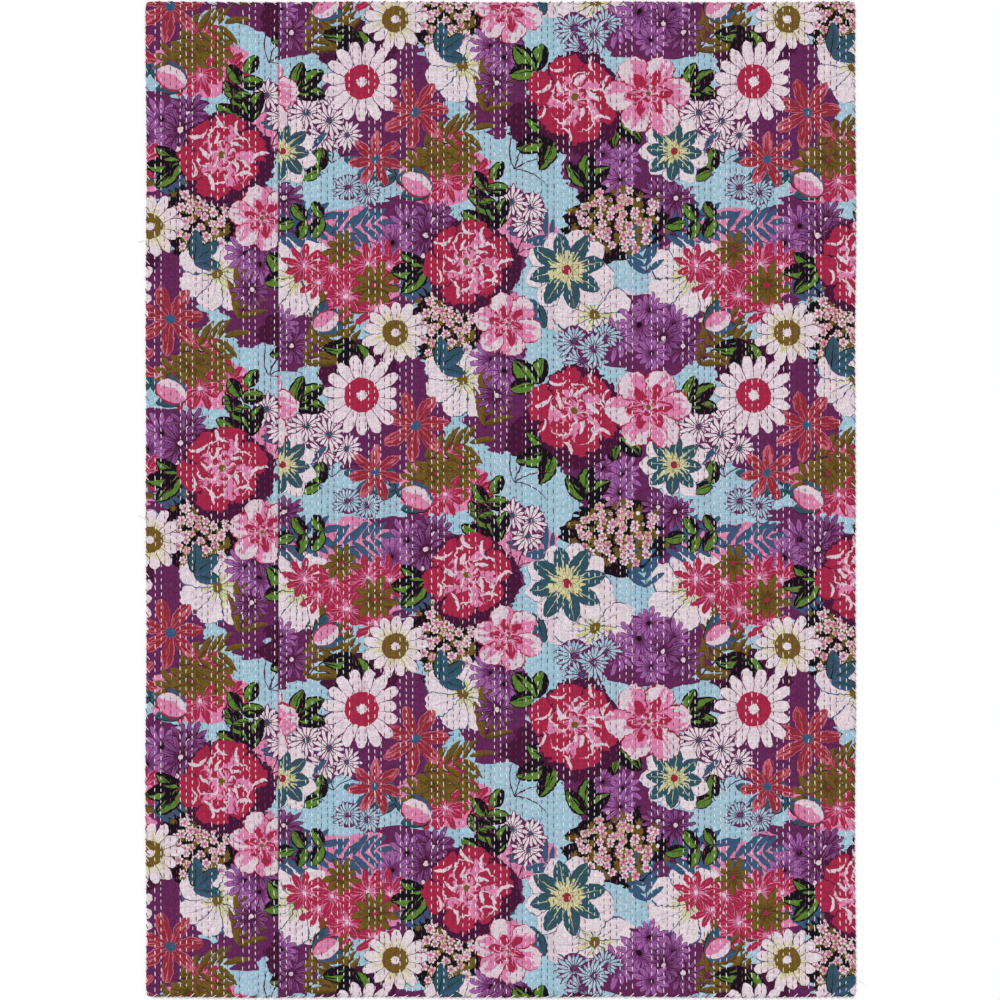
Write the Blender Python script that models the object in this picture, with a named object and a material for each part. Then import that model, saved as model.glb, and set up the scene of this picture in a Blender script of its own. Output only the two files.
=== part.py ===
"""A running-stitch quilted coverlet, laid out flat.

Two widths of printed cotton, a narrow one and a wide one, meet at a lengthwise seam. Both are
quilted through with rows of hand running stitch that run the whole length, three rows close
together and then the next three. Each row presses a shallow trough into the cloth.

Metres, +Z up. The origin is on the surface it lies on, below the middle of the coverlet. +Y is
along the length, and the narrow panel is at -X.
"""

import math

import bmesh
import bpy

# The cut of the coverlet
WIDTH = 1.270
LENGTH = 1.780
NARROW_PANEL = 0.238  # from the left edge to the seam
SEAM_GAP = 0.0003

# The rows of running stitch
ROWS_IN_GROUP = 3
ROW_PITCH = 0.0109  # between the rows of one group
GROUP_PITCH = 0.02805  # from one group's first row to the next group's
ROW_ORIGIN = 0.2312  # a group's first row, from the left edge
EDGE_CLEAR = 0.008  # no row is sewn nearer to an edge than this
ROW_WAVER = 0.0007  # how far a row strays to either side

# Thickness of the layered cloth
TROUGH_HEIGHT = 0.0024
CREST_HEIGHT = 0.0032
CREST_UNEVEN = 0.0002
RIM_HEIGHT = 0.0017  # the folded edge, where it turns down
SHOULDER_INSET = 0.0035  # from the rim to the full thickness
SHOULDER_HEIGHT = 0.0030

# The outline
EDGE_STRAY = 0.0011  # half of how far a long edge wanders inwards
EDGE_SWINGS = (2.5, 4.0)  # its two waves, in half turns from the middle to a corner
END_STRAY = 0.0008  # the same for the two short ends
END_SWING = 3.0
CORNER_RADIUS = 0.009
STATIONS = 14  # equal steps along the length
FULLEST_STATION = 4  # from the middle, where a long edge doesn't wander in at all

COTTON_COLOUR = (0.262, 0.121, 0.168, 1.0)
COTTON_ROUGHNESS = 0.92


def clear_scene():
    for old in list(bpy.data.objects):
        bpy.data.objects.remove(old)


def printed_cotton(name):
    material = bpy.data.materials.new(name)
    material.use_nodes = True
    shader = material.node_tree.nodes["Principled BSDF"]
    shader.inputs["Base Color"].default_value = COTTON_COLOUR
    shader.inputs["Roughness"].default_value = COTTON_ROUGHNESS
    shader.inputs["Metallic"].default_value = 0.0
    return material


def stitch_rows():
    """Where each row of stitching lies across the width, from left to right."""
    rows = []
    first_group = -math.ceil(ROW_ORIGIN / GROUP_PITCH)
    last_group = math.ceil((WIDTH - ROW_ORIGIN) / GROUP_PITCH)
    for group in range(first_group, last_group + 1):
        for row in range(ROWS_IN_GROUP):
            from_left = ROW_ORIGIN + group * GROUP_PITCH + row * ROW_PITCH
            if EDGE_CLEAR < from_left < WIDTH - EDGE_CLEAR:
                rows.append(from_left - WIDTH / 2)
    return rows


def panel_columns(low, high):
    """(place across, height, strays with its row) of each column of points between two edges."""
    rows = [x for x in stitch_rows() if low < x < high]
    columns = [(low, RIM_HEIGHT, False)]
    if rows[0] - low > 2 * SHOULDER_INSET:
        columns.append((low + SHOULDER_INSET, SHOULDER_HEIGHT, False))
    for x, following in zip(rows, rows[1:]):
        fullness = min(1.0, (following - x) / ROW_PITCH)
        crest = TROUGH_HEIGHT + (CREST_HEIGHT - TROUGH_HEIGHT) * fullness
        columns.append((x, TROUGH_HEIGHT, True))
        columns.append(((x + following) / 2, crest, False))
    columns.append((rows[-1], TROUGH_HEIGHT, True))
    if high - rows[-1] > 2 * SHOULDER_INSET:
        columns.append((high - SHOULDER_INSET, SHOULDER_HEIGHT, False))
    columns.append((high, RIM_HEIGHT, False))
    return columns


def station_place(steps):
    """The place from -1 to 1 along the half length, so many stations from the middle."""
    shoulder = 1 - 2 * SHOULDER_INSET / LENGTH
    return 2 * shoulder * steps / STATIONS


def panel_stations():
    """Each station's place along the half length, and whether it is on a rim."""
    half = STATIONS // 2
    inner = [(station_place(steps), False) for steps in range(-half, half + 1)]
    return [(-1.0, True)] + inner + [(1.0, True)]


def edge_inset(y, side):
    """How far a long edge has wandered inwards at y, for the left (-1) or right (+1) side."""
    from_fullest = y - side * station_place(FULLEST_STATION)
    waves = [1 - math.cos(math.pi * swing * from_fullest) for swing in EDGE_SWINGS]
    return EDGE_STRAY * sum(waves) / 2


def end_inset(x, end):
    """The same for the lower (-1) or upper (+1) short end, at x from -1 to 1."""
    return END_STRAY * (1 + end * math.cos(math.pi * END_SWING * x))


def row_stray(x, y):
    """How far the row at x has strayed sideways at y."""
    return ROW_WAVER * math.sin(2.1 * y * math.pi + 37 * x) * math.cos(61 * x + 1.3 * y)


def crest_change(x, y):
    return CREST_UNEVEN * math.sin(83 * x + 5.0 * y) * math.sin(29 * x - 7.0 * y)


def placed(column, station, low, high):
    """The point of the upper face at one column and one station."""
    x, height, on_row = column
    y, on_end = station
    at_edge = x in (low, high)
    if on_row:
        x += row_stray(x, y)
    elif not at_edge:
        height += crest_change(x, y)
    side = -1 if x < 0 else 1
    nearness = max(0.0, (abs(x) - WIDTH / 2 + 2 * EDGE_CLEAR) / (2 * EDGE_CLEAR))
    x -= side * nearness * edge_inset(y, side)
    end = -1 if y < 0 else 1
    along = y * (LENGTH / 2) - (end * end_inset(2 * x / WIDTH, end) if abs(y) > 0.9 else 0)
    if on_end:
        height = RIM_HEIGHT
        if at_edge and nearness > 0:
            corner_cut = CORNER_RADIUS * (1 - math.sqrt(0.5))
            x -= side * corner_cut
            along -= end * corner_cut
    return x, along, height


def quilted_panel(name, low, high, material):
    """One width of quilted cloth between two edges: relief above, flat where it lies."""
    columns = panel_columns(low, high)
    stations = panel_stations()
    mesh = bmesh.new()
    bmesh.ops.create_grid(mesh, x_segments=len(columns) - 1, y_segments=len(stations) - 1, size=1)
    mesh.verts.ensure_lookup_table()
    across = sorted(mesh.verts, key=lambda v: (round(v.co.y, 5), v.co.x))
    points = [placed(column, station, low, high) for station in stations for column in columns]
    for vertex, point in zip(across, points, strict=True):
        vertex.co = point
    upper = list(mesh.faces)
    made = bmesh.ops.extrude_face_region(mesh, geom=upper, use_keep_orig=True)["geom"]
    for vertex in (v for v in made if isinstance(v, bmesh.types.BMVert)):
        vertex.co.z = 0
    mesh.normal_update()
    merge_underside(mesh)
    bmesh.ops.recalc_face_normals(mesh, faces=mesh.faces)
    data = bpy.data.meshes.new(name)
    mesh.to_mesh(data)
    mesh.free()
    data.materials.append(material)
    panel = bpy.data.objects.new(name, data)
    return panel


def merge_underside(mesh):
    """Leaves the flat underside as one long strip for each column, without its cross edges."""
    cross = [
        edge
        for edge in mesh.edges
        if len(edge.link_faces) == 2
        and all(abs(v.co.z) < 1e-9 for face in edge.link_faces for v in face.verts)
        and abs(edge.verts[0].co.x - edge.verts[1].co.x) > abs(edge.verts[0].co.y - edge.verts[1].co.y)
    ]
    bmesh.ops.dissolve_edges(mesh, edges=cross, use_verts=True)


def build():
    clear_scene()
    coverlet = bpy.data.collections.new("coverlet")
    bpy.context.scene.collection.children.link(coverlet)
    seam = NARROW_PANEL - WIDTH / 2
    panels = [
        quilted_panel(
            "panel_narrow", -WIDTH / 2, seam - SEAM_GAP / 2, printed_cotton("narrow_cotton")
        ),
        quilted_panel("panel_wide", seam + SEAM_GAP / 2, WIDTH / 2, printed_cotton("wide_cotton")),
    ]
    for panel in panels:
        coverlet.objects.link(panel)


build()
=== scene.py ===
"""The looks of a running-stitch quilted coverlet, spread flat and seen from straight above.

Metres, +Z up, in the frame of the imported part: the origin is on the surface the coverlet lies on,
below its middle, +Y is along the length, and the narrow panel is at -X.

The cotton is printed all over with a repeat of generic garden flowers. Each motif is a stamp: the
cloth's faces carry the stamps that show on them, and one node group draws a stamp's petals.
"""

import math

import bpy
import numpy as np
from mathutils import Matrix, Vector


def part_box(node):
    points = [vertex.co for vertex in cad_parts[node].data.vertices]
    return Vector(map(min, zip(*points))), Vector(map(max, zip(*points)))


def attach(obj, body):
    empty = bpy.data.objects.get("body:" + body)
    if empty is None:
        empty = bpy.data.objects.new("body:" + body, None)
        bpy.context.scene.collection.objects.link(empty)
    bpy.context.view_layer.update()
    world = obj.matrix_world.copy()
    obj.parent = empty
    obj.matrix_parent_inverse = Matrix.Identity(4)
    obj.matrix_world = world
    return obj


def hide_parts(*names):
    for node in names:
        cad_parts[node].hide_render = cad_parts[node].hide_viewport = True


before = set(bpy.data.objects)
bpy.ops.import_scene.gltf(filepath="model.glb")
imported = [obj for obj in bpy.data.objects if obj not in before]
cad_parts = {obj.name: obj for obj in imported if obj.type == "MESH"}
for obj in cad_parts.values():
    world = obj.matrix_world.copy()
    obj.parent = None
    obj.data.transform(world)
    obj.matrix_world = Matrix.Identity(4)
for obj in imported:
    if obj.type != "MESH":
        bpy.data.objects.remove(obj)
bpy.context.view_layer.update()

# The cut, from the frame
NARROW_LOW, NARROW_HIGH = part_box("panel_narrow")
WIDE_LOW, WIDE_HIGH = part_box("panel_wide")
WIDTH = WIDE_HIGH.x - NARROW_LOW.x
LENGTH = WIDE_HIGH.y - WIDE_LOW.y
SEAM = (NARROW_HIGH.x + WIDE_LOW.x) / 2

# The outline, as in the solids
EDGE_STRAY = 0.0011
EDGE_SWINGS = (2.5, 4.0)
EDGE_FULLEST = 4 / 7  # of the half length, where a long edge doesn't wander in at all
END_STRAY = 0.0008
END_SWING = 3.0
CORNER_RADIUS = 0.009
EDGE_REACH = 0.016  # how far in from an edge the cloth follows the edge's wandering
SCALLOP = 0.0009  # the rim drawn in by its sewing
SCALLOP_PITCH = 0.0205

# The rows of running stitch, as in the solids
ROWS_IN_GROUP = 3
ROW_PITCH = 0.0109
GROUP_PITCH = 0.02805
ROW_ORIGIN = 0.2312
EDGE_CLEAR = 0.008
ROW_WAVER = 0.0007
STITCH_PERIOD = 0.0129
STITCH_SHARE = 0.74  # of the period, on the upper face
HAND_STRAY = 0.0002  # how far a stitch typically lies beside its row

# Thickness of the layered cloth, as in the solids
TROUGH_HEIGHT = 0.0024
CREST_HEIGHT = 0.0032
PUFF = CREST_HEIGHT - TROUGH_HEIGHT
RIM_LOW = 0.0007
SHOULDER_INSET = 0.0035
SHOULDER_HEIGHT = 0.0030
RIM_INSETS = (0.0, 0.0006, 0.0016, 0.0035)
CREST_SHAPE = 1.4  # of a sine: how softly a crest rises from its rows
CRINKLE = 0.00022
CRINKLE_WAVES = 14
NEAR_FACE = 0.0024  # a shape this near a face's corners may touch the face

# How finely the cloth is meshed
PITCH_STEPS = 4  # columns between two rows of a group
GAP_STEPS = 3  # columns between two groups
EDGE_STEP = 0.0045
STATION_STEP = 0.0077

# The print
REPEAT_X = 0.700
REPEAT_Y = 0.560
LAYERS = 8  # stamps that can overlap on one face
DEPTHS = (2, 4, LAYERS)  # the cloth's materials draw so many layers each
KINDS = 32  # most motifs
SEEDS = 64  # flowers of one motif differ in so many ways
LIFT = 10.0  # a colour ramp holds no number below zero
NARROW_SHIFT = (0.262, 0.190)  # the narrow panel is cut from another part of the print
WIDE_SHIFT = (0.0, 0.0)
MM = 0.001

RNG = np.random.default_rng(21)

# How strongly the inks print, how much each unevenness of the cotton darkens or lightens them, and how
# much painted shade darkens them where the needle went in
INK_STRENGTH = 0.84
SOAKED_SHADE = 0.22
WEFT_SHADE = 0.4
WARP_SHADE = 0.3
FLECK_SHADE = 0.24
# painted shade: how much the print darkens where the needle went in
NEEDLE_HOLE_PAINTED_SHADE = 0.12
ROW_DENT = 34.0  # how sharply the cloth dips along a row of stitches
NEEDLE_SHADE_TIGHTNESS = 150.0  # how tightly the painted shade gathers where the needle went in

# The sewing
ROW_SAMPLES = 1200
END_GAP = 0.6  # of a stitch's period, that a row leaves free at its ends
THREAD_LIFT = 0.00012
STITCH_SETTINGS = {
    "Length share": STITCH_SHARE,
    "Thread width": 0.0018,
    "Thread rise": 0.00042,
    "Dive": 0.0005,
    "Slant": 0.14,
}
WHIP_SETTINGS = {
    "Bite": 0.0052,
    "Slant": 0.0078,
    "Start height": 0.0034,
    "Crown height": 0.0058,
    "Thread radius": 0.00062,
}
WHIP_PITCH = 0.0108
# How a stitch is turned on each side: a cream one, then a plum one
WHIP_TURNS = {
    "left": (-math.pi / 2, -math.pi / 2),
    "right": (math.pi / 2, math.pi / 2),
    "foot": (0.0, 0.0),
    "head": (math.pi + 1.96, math.pi),
}
# Loose thread ends: where each leaves the edge, its heading in degrees, and its length
TAILS = (
    (-0.6345, 0.463, 205, 0.016),
    (-0.6345, -0.034, 160, 0.019),
    (0.6345, -0.857, -15, 0.022),
)
TAIL_STEPS = 7
TAIL_RADIUS = 0.0004

# The studio
FLOOR_HALF = 60.0
FLOOR_LEVEL = -0.0003
FRAME_WIDTH = 1.7867
LENS, SENSOR = 100.0, 36.0
ROUND_LIGHT = 0.68
SOFTBOX_LIGHT = 1.95
SOFTBOX_SPREAD = math.radians(24)
SOFTBOX_PLACE = (-1.9, 2.9, 2.9)


def ink(red, green, blue):
    """A printing ink from its 0 to 255 screen values."""
    shares = [value / 255 for value in (red, green, blue)]
    return (*(s / 12.92 if s <= 0.04045 else ((s + 0.055) / 1.055) ** 2.4 for s in shares), 1.0)


BLUSH = ink(223, 203, 214)
WHITE = ink(231, 215, 223)
SKY = ink(164, 199, 217)
ROSE = ink(219, 132, 172)
CRIMSON = ink(170, 38, 72)
BRICK = ink(150, 42, 56)
CORAL = ink(200, 104, 124)
PLUM = ink(100, 38, 88)
WINE = ink(70, 20, 56)
LILAC = ink(164, 102, 168)
VIOLET = ink(116, 58, 124)
MAUVE = ink(138, 80, 142)
OLIVE = ink(114, 90, 32)
MOSS = ink(82, 62, 22)
LEAF = ink(92, 132, 48)
NIGHT = ink(20, 12, 24)
TEAL = ink(46, 84, 98)
SLATE = ink(58, 90, 124)
STRAW = ink(212, 206, 158)


def motif(
    petals=1, jitter=0.1, swirl=0.0, ruffle=0.06, width=0.3, widest=0.6, point=0.6, backing=0.0,
    outline=0.0, rib=0.0, crescent=0.0, eye=0.0,
    mark_from=-9.0, mark_along=1.0, mark_across=0.0, streak=0.6,
    body=WHITE, rim=PLUM, mark=ROSE, centre=OLIVE,
):
    """One kind of stamp, in units of its own radius. A leaf is a flower of one petal.

    The mark shows where its start, less its runs along and across the petal, is over 0.
    """
    rise = point * widest / (1 - widest)
    top = width / (widest**rise * (1 - widest) ** point)
    return {
        "shape": (petals, jitter, swirl, ruffle),
        "profile": (rise, point, top, backing),
        "line": (outline, rib, crescent, eye),
        "wash": (mark_from, mark_along, mark_across, streak),
        "body": body,
        "rim": rim,
        "mark": mark,
        "centre": centre,
    }


MOTIFS = {
    "nothing": motif(width=0.0),
    "shade": motif(6, 0.15, 0, 0.14, 0.5, 0.72, 0.4, eye=0.6, body=WINE, centre=WINE),
    # crimson rose
    "rose_outer": motif(6, 0.16, 0.25, 0.14, 0.41, 0.74, 0.4, eye=0.5, outline=0.034, rib=0.012,
        crescent=1.1, body=CRIMSON, rim=WINE, centre=CRIMSON),
    "rose_fold": motif(5, 0.3, 0.7, 0.16, 0.44, 0.7, 0.42, outline=0.05, crescent=1.0,
        mark_from=0.3, mark_along=0.7, mark_across=0.55, streak=0.8, body=CRIMSON, rim=BLUSH),
    "rose_heart": motif(5, 0.3, -0.9, 0.14, 0.42, 0.64, 0.5, outline=0.07, crescent=0.9, eye=0.22,
        mark_from=0.5, mark_along=0.9, body=CRIMSON, rim=BLUSH),
    # open pink blossom
    "blossom_outer": motif(6, 0.13, 0.12, 0.1, 0.35, 0.64, 0.46, 0.3, outline=0.032, crescent=0.3,
        mark_from=0.62, mark_along=0.95, mark_across=0.32, streak=0.5, body=BLUSH, rim=CRIMSON),
    "blossom_flush": motif(6, 0.3, 0.12, 0.12, 0.24, 0.5, 0.7, outline=0.03, eye=0.22,
        mark_from=0.34, streak=0.9, body=CRIMSON, rim=ROSE, centre=ROSE),
    # daisies
    "daisy_red": motif(15, 0.16, 0, 0.05, 0.15, 0.74, 0.36, 0.6, outline=0.018, crescent=0.4,
        eye=0.42, mark_from=0.5, mark=BLUSH, centre=CRIMSON),
    "daisy_olive": motif(13, 0.18, 0, 0.06, 0.165, 0.72, 0.4, 0.6, outline=0.018, crescent=0.4,
        eye=0.38, mark_from=0.52, rim=WINE, mark=STRAW),
    "button": motif(11, 0.2, 0, 0.14, 0.2, 0.6, 0.4, eye=0.72, centre=WHITE),
    # pointed teal star over a pale one
    "star_back": motif(9, 0.16, 0, 0.06, 0.3, 0.55, 0.7, outline=0.016, crescent=0.6, eye=0.3,
        rim=SLATE, centre=WHITE),
    "star_front": motif(8, 0.18, 0, 0.05, 0.2, 0.58, 0.75, rib=0.022, mark_from=0.36, streak=0.4,
        body=TEAL, rim=STRAW, mark=STRAW),
    "star_heart": motif(9, 0.4, 0, 0.1, 0.16, 0.5, 0.9, outline=0.03, rib=0.02, eye=0.3, body=STRAW,
        rim=OLIVE, centre=BRICK),
    # asters
    "aster": motif(12, 0.3, 0.06, 0.08, 0.125, 0.66, 0.6, 0.34, outline=0.024, rib=0.02, eye=0.1,
        mark_from=0.34, body=LILAC, mark=VIOLET, centre=NIGHT),
    "aster_deep": motif(13, 0.3, -0.06, 0.08, 0.115, 0.64, 0.6, 0.34, outline=0.03, rib=0.02,
        eye=0.1, mark_from=0.45, streak=0.8, body=MAUVE, rim=WINE, mark=PLUM, centre=BLUSH),
    # chrysanthemums drawn in line
    "mum_white": motif(15, 0.34, 0.05, 0.08, 0.125, 0.62, 0.7, 0.72, outline=0.046, eye=0.11,
        centre=TEAL),
    "mum_sky": motif(18, 0.4, 0.3, 0.08, 0.11, 0.62, 0.8, 0.7, outline=0.044, eye=0.07, body=SKY,
        centre=SLATE),
    # small crimson flowers, and olive ones among them
    "ember": motif(9, 0.3, 0.05, 0.1, 0.15, 0.64, 0.58, outline=0.012, rib=0.012, crescent=1.0,
        eye=0.08, mark_from=0.16, body=CRIMSON, rim=ROSE, centre=BLUSH),
    "ember_olive": motif(9, 0.3, -0.05, 0.1, 0.15, 0.64, 0.58, outline=0.02, rib=0.014,
        crescent=1.0, eye=0.1, mark_from=0.3, streak=0.7, body=OLIVE, rim=MOSS, mark=MOSS,
        centre=CRIMSON),
    # red star with striped pale tips
    "comet": motif(7, 0.16, 0.1, 0.07, 0.17, 0.62, 0.6, outline=0.014, rib=0.012, crescent=0.6,
        eye=0.13, mark_from=-0.84, mark_along=-1.0, streak=1.0, body=BRICK, rim=CORAL, mark=CORAL,
        centre=SLATE),
    # pale petals with a blue line
    "lily": motif(7, 0.16, 0.25, 0.08, 0.34, 0.64, 0.5, outline=0.026, rib=0.01, crescent=0.8,
        eye=0.12, mark_from=0.3, streak=0.5, rim=SLATE, mark=STRAW),
    # tiny flowers in crowds
    "mite": motif(6, 0.16, 0, 0.16, 0.34, 0.56, 0.6, outline=0.07, eye=0.12, mark_from=0.5,
        streak=0.4, rim=OLIVE, centre=CRIMSON),
    "mite_rose": motif(5, 0.16, 0, 0.16, 0.4, 0.58, 0.6, outline=0.07, eye=0.14, mark_from=0.66,
        streak=0.5, body=STRAW, rim=MOSS, centre=BRICK),
    "curl": motif(6, 0.45, 0.7, 0.34, 0.2, 0.7, 0.5, eye=0.36, body=OLIVE),
    # leaves, of one petal each
    "leaf": motif(1, 0, 0.15, 0.06, 0.27, 0.42, 0.62, outline=0.034, rib=0.03, crescent=1.3,
        mark_from=-0.2, mark_along=-0.3, mark_across=1.0, streak=1.0, body=LEAF, rim=NIGHT,
        mark=NIGHT),
    "leaf_round": motif(1, 0, 0, 0.07, 0.34, 0.46, 0.55, outline=0.034, rib=0.028, crescent=1.2,
        mark_from=-0.3, mark_along=-0.3, mark_across=1.0, streak=0.9, body=LEAF, rim=NIGHT,
        mark=NIGHT),
    "leaf_teal": motif(1, 0, -0.1, 0.05, 0.24, 0.45, 0.6, outline=0.02, rib=0.02, crescent=0.8,
        mark_from=-0.4, mark_along=0.0, mark_across=1.0, streak=0.7, body=TEAL, rim=NIGHT,
        mark=SLATE),
    "blade_blue": motif(1, 0, 0.2, 0.06, 0.13, 0.5, 0.55, outline=0.02, crescent=1.0, body=SLATE,
        rim=TEAL),
    "blade_olive": motif(1, 0, 0.2, 0.06, 0.118, 0.42, 0.75, rib=0.016, mark_from=-0.45,
        mark_along=0.0, mark_across=1.0, streak=0.7, body=OLIVE, rim=MOSS, mark=MOSS),
    # fine strokes of a brush
    "stroke": motif(1, 0, 0.9, 0.16, 0.1, 0.66, 0.5, body=BLUSH),
    "stem": motif(1, 0, 0.5, 0.05, 0.016, 0.3, 0.4, body=WINE),
    "bud": motif(1, 0, 0, 0.05, 0.36, 0.52, 0.5, outline=0.036, crescent=0.6, mark_from=-0.2,
        mark_along=0.0, mark_across=1.0, body=ROSE, rim=CRIMSON, mark=BLUSH),
}
KIND_NUMBER = {name: number for number, name in enumerate(MOTIFS)}
MEASURES = ("shape", "profile", "line", "wash")
INKS = ("body", "rim", "mark", "centre")


def stamp(kind, x, y, radius, turn):
    """A list of one stamp of the repeat: place and radius in millimetres, turn in degrees."""
    return [(kind, x * MM, y * MM, radius * MM, math.radians(turn))]


def reached(x, y, distance, turn):
    """The place so far from another one, in a direction."""
    along = math.radians(turn)
    return x + distance * math.cos(along), y + distance * math.sin(along)


def crowd(kinds, x, y, half_x, half_y, count, radius, spread=0.12):
    """Flowers crowded evenly round a place, as seeds sit in a sunflower."""
    golden = math.pi * (3 - math.sqrt(5))
    kinds = kinds.split()
    stamps = []
    for number in range(count):
        out = math.sqrt((number + 0.5) / count) * (1 + spread * RNG.uniform(-1, 1))
        angle = number * golden + RNG.uniform(-0.25, 0.25)
        kind = kinds[RNG.integers(len(kinds))]
        size = radius * RNG.uniform(0.86, 1.12)
        here = (x + half_x * out * math.cos(angle), y + half_y * out * math.sin(angle))
        stamps += stamp(kind, *here, size, RNG.uniform(0, 360))
    RNG.shuffle(stamps)
    return stamps


def mites(x, y, half_x, half_y, count):
    """A crowd of tiny flowers among olive curls."""
    curls = crowd("curl", x, y, half_x * 1.06, half_y * 1.06, round(count * 1.5), 9, 0.2)
    specks = crowd("mite button", x, y, half_x, half_y, count // 2, 4, 0.3)
    return curls + specks + crowd("mite mite mite_rose", x, y, half_x, half_y, count, 9)


def sprig(kind, x, y, turn, length, pairs, leaf, opening=48):
    """Leaves in pairs along a straight stem, with one at its tip."""
    leaves = stamp("stem", x, y, length, turn) + stamp(kind, *reached(x, y, length, turn), leaf, turn)
    for pair in range(pairs):
        here = reached(x, y, length * (pair + 0.3) / pairs, turn)
        for side in (-1, 1):
            size = leaf * RNG.uniform(0.85, 1.1)
            leaves += stamp(kind, *here, size, turn + side * (opening + RNG.uniform(-9, 9)))
    return leaves


def fan(kind, x, y, turn, leaf, count, opening):
    """Leaves spread from one place like a hand."""
    stamps = []
    for number in range(count):
        swing = opening * (number / (count - 1) - 0.5)
        size = leaf * (1 - 0.25 * abs(swing) / opening) * RNG.uniform(0.9, 1.08)
        stamps += stamp(kind, x, y, size, turn + swing)
    return stamps


def rose(x, y, radius, turn):
    """A full rose: its shadow, two rings of petals, brushed highlights and a heart."""
    flower = stamp("shade", x + 0.1 * radius, y - 0.12 * radius, 1.1 * radius, turn + 31)
    flower += stamp("rose_outer", x, y, radius, turn)
    flower += stamp("rose_fold", x + 0.04 * radius, y - 0.06 * radius, 0.76 * radius, turn + 20)
    for number in range(7):
        angle = turn + number * 360 / 7 + RNG.uniform(-14, 14)
        here = reached(x, y, radius * RNG.uniform(0.56, 0.72), angle)
        size = radius * RNG.uniform(0.32, 0.46)
        flower += stamp("stroke", *here, size, angle + RNG.uniform(100, 135))
    flower += fan("stroke", x, y, turn + 80, 0.56 * radius, 4, 210)
    return flower + stamp("rose_heart", x, y, 0.34 * radius, turn)


def blossom(x, y, radius, turn):
    flower = stamp("blossom_outer", x, y, radius, turn)
    flower += stamp("blossom_flush", x, y, 0.62 * radius, turn)
    return flower + stamp("rose_heart", x, y, 0.24 * radius, turn)


def daisy(kind, x, y, radius, turn):
    return stamp(kind, x, y, radius, turn) + stamp("button", x, y, 0.14 * radius, turn)


def star(x, y, radius, turn):
    flower = stamp("star_back", x, y, radius * 1.12, turn + 22)
    flower += stamp("star_front", x, y, radius, turn)
    return flower + stamp("star_heart", x, y, 0.36 * radius, turn + 10)


def rosebud(x, y, radius, turn):
    return fan("leaf_teal", x, y, turn, radius * 1.15, 3, 60) + stamp("bud", x, y, radius, turn)


# One repeat, from the bottom stamp to the top one: what makes them, and where
LAYOUT = (
    # line-drawn petals on the pale ground
    (stamp, ("lily", 340, 400, 84, 15), ("lily", 632, 214, 79, 60), ("lily", 168, 330, 78, 40)),
    # sprays behind
    (sprig, ("blade_olive", 352, 236, 62, 96, 5, 54), ("blade_olive", 672, 128, 78, 92, 5, 54),
        ("blade_blue", 290, 470, 20, 92, 5, 52), ("blade_blue", 262, 400, 105, 66, 5, 42),
        ("blade_blue", 96, 462, 150, 66, 5, 42), ("blade_blue", 505, 380, 20, 66, 5, 42),
        ("leaf_teal", 520, 16, 160, 66, 3, 40), ("blade_blue", 398, 476, 12, 84, 5, 46)),
    # crowds
    (crowd, ("aster aster aster_deep", 270, 292, 72, 50, 7, 44),
        ("aster aster aster_deep", 552, 470, 56, 56, 6, 44), ("aster", 204, 44, 40, 34, 3, 42),
        ("aster aster_deep", 694, 226, 36, 52, 4, 42),
        ("ember ember ember_olive", 426, 396, 82, 66, 11, 44),
        ("ember ember_olive", 606, 34, 70, 44, 8, 44), ("mum_sky", 150, 270, 50, 30, 4, 38),
        ("mum_sky", 446, 548, 34, 12, 2, 34), ("aster_deep", 300, 538, 26, 12, 2, 36),
        ("mum_white", 378, 116, 56, 42, 6, 39), ("mum_white", 40, 520, 34, 28, 3, 38)),
    (mites, (206, 499, 76, 54, 46), (604, 314, 52, 66, 42)),
    # ferns over the crimson
    (sprig, ("blade_olive", 428, 232, 112, 96, 5, 56), ("blade_olive", 560, 70, 20, 90, 5, 50),
        ("blade_blue", 676, 316, 75, 66, 5, 42), ("blade_blue", 330, 8, 60, 66, 5, 40)),
    # single flowers
    (stamp, ("comet", 548, 132, 70, 10), ("comet", 476, 48, 56, 40)),
    (fan, ("leaf", 96, 88, 205, 74, 3, 100), ("leaf", 200, 126, -36, 70, 3, 90),
        ("leaf_round", 60, 206, 130, 54, 3, 120), ("leaf", 688, 484, 140, 70, 4, 130),
        ("leaf", 566, 412, 195, 66, 3, 80), ("leaf", 330, 170, 40, 68, 3, 80),
        ("leaf_teal", 66, 350, 235, 58, 3, 90), ("leaf", 442, 276, 250, 68, 3, 110),
        ("leaf", 150, 560, 90, 62, 3, 90), ("leaf_teal", 590, 238, 30, 58, 3, 100)),
    (sprig, ("leaf_round", 385, 22, 150, 66, 2, 40, 60),
        ("leaf_round", 655, 520, 60, 58, 2, 38, 62), ("leaf_round", 390, 505, 190, 60, 2, 38, 62)),
    (fan, ("stem", 25, 30, 60, 80, 4, 120), ("stem", 640, 540, 20, 76, 4, 120),
        ("stem", 400, 40, 100, 70, 3, 100), ("stem", 30, 440, 80, 70, 3, 100)),
    (star, (118, 410, 76, 12), (310, 62, 60, 40)),
    (daisy, ("daisy_olive", 512, 298, 62, 5), ("daisy_red", 452, 186, 74, 30)),
    (rose, (132, 158, 84, 0), (640, 426, 80, 30)),
    (blossom, (264, 164, 80, 10), (12, 312, 66, 50)),
    (rosebud, (575, 548, 58, 150), (366, 306, 50, 30)),
)
STAMPS = [one for maker, *places in LAYOUT for place in places for one in maker(*place)]

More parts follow.
